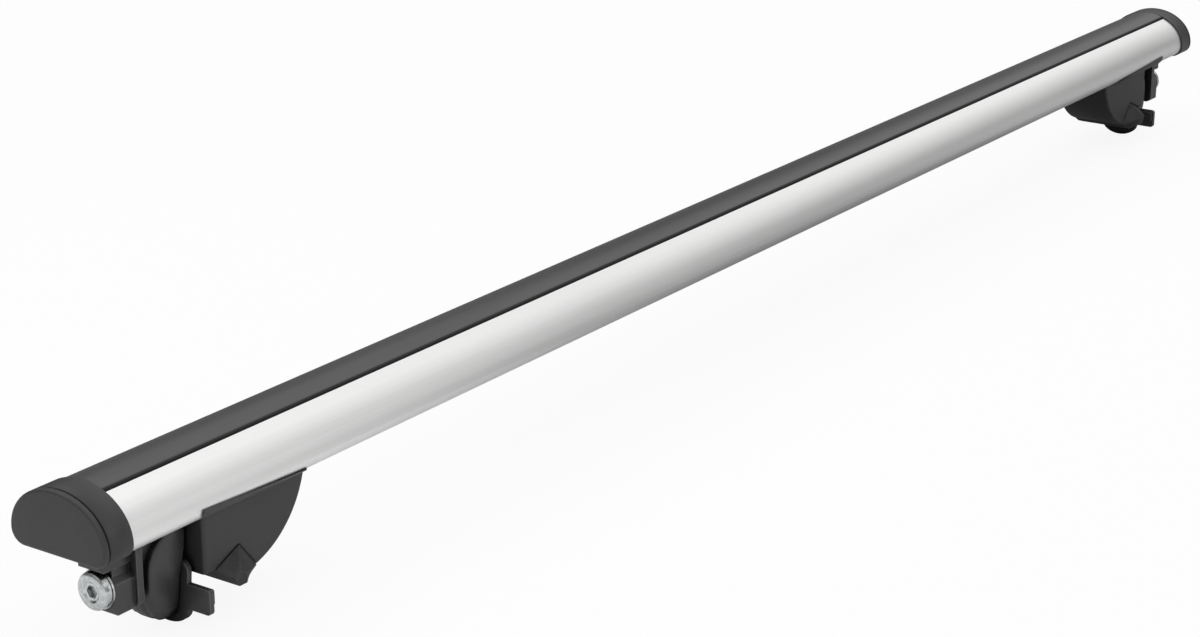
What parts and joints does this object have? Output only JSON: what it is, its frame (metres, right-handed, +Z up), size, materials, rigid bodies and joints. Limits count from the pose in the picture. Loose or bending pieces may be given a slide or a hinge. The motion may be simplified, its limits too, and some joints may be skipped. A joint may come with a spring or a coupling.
{
  "type": "roof rack crossbar",
  "caption": "Aero roof crossbar: aluminium bar with a rubber top strip, end caps, and at each end a finned foot with a bolt-drawn claw that clamps a raised roof rail.",
  "frame": {"origin": "middle of the bar's length and width, at the level of the claw tips", "axes": "+X along the bar, +Y across it (towards the vehicle's front or back), +Z up"},
  "size_m": [1.2, 0.06, 0.0892],
  "materials": {
    "satin_aluminium": "satin anodised",
    "black_rubber": "matt",
    "black_plastic": "fine satin grain",
    "coated_casting": "satin black coating",
    "zinc_steel": "bright zinc plate"
  },
  "bodies": {
    "bar": {"bar_extrusion": "satin_aluminium", "top_strip": "black_rubber", "left_end_cap": "black_plastic", "right_end_cap": "black_plastic", "left_foot_cover": "black_plastic", "right_foot_cover": "black_plastic", "left_foot_bracket": "zinc_steel", "right_foot_bracket": "zinc_steel", "left_foot_screws": "zinc_steel", "right_foot_screws": "zinc_steel", "left_slot_nuts": "zinc_steel", "right_slot_nuts": "zinc_steel", "left_rail_pad": "black_rubber", "right_rail_pad": "black_rubber", "left_clamp_nut": "zinc_steel", "right_clamp_nut": "zinc_steel"},
    "left_claw": {"left_clamp_claw": "coated_casting", "left_claw_lining": "black_rubber", "left_bolt_washer": "zinc_steel"},
    "left_bolt": {"left_clamp_bolt": "zinc_steel"},
    "right_claw": {"right_clamp_claw": "coated_casting", "right_claw_lining": "black_rubber", "right_bolt_washer": "zinc_steel"},
    "right_bolt": {"right_clamp_bolt": "zinc_steel"}
  },
  "joints": [
    {"name": "left_claw_slide", "type": "slide", "parent": "bar", "child": "left_claw", "axis": [-1, 0, 0], "range_m": [0, 0.02]},
    {"name": "left_bolt_turn", "type": "hinge", "parent": "left_claw", "child": "left_bolt", "pos_m": [-0.58, 0, 0.0328], "axis": [-1, 0, 0], "range_deg": [0, 5760]},
    {"name": "right_claw_slide", "type": "slide", "parent": "bar", "child": "right_claw", "axis": [1, 0, 0], "range_m": [0, 0.02]},
    {"name": "right_bolt_turn", "type": "hinge", "parent": "right_claw", "child": "right_bolt", "pos_m": [0.59, 0, 0.0328], "axis": [1, 0, 0], "range_deg": [0, 5760]}
  ],
  "couplings": [
    {"joint": "left_bolt_turn", "follows": "left_claw_slide", "rad_per_m": 5026.5},
    {"joint": "right_bolt_turn", "follows": "right_claw_slide", "rad_per_m": 5026.5}
  ]
}
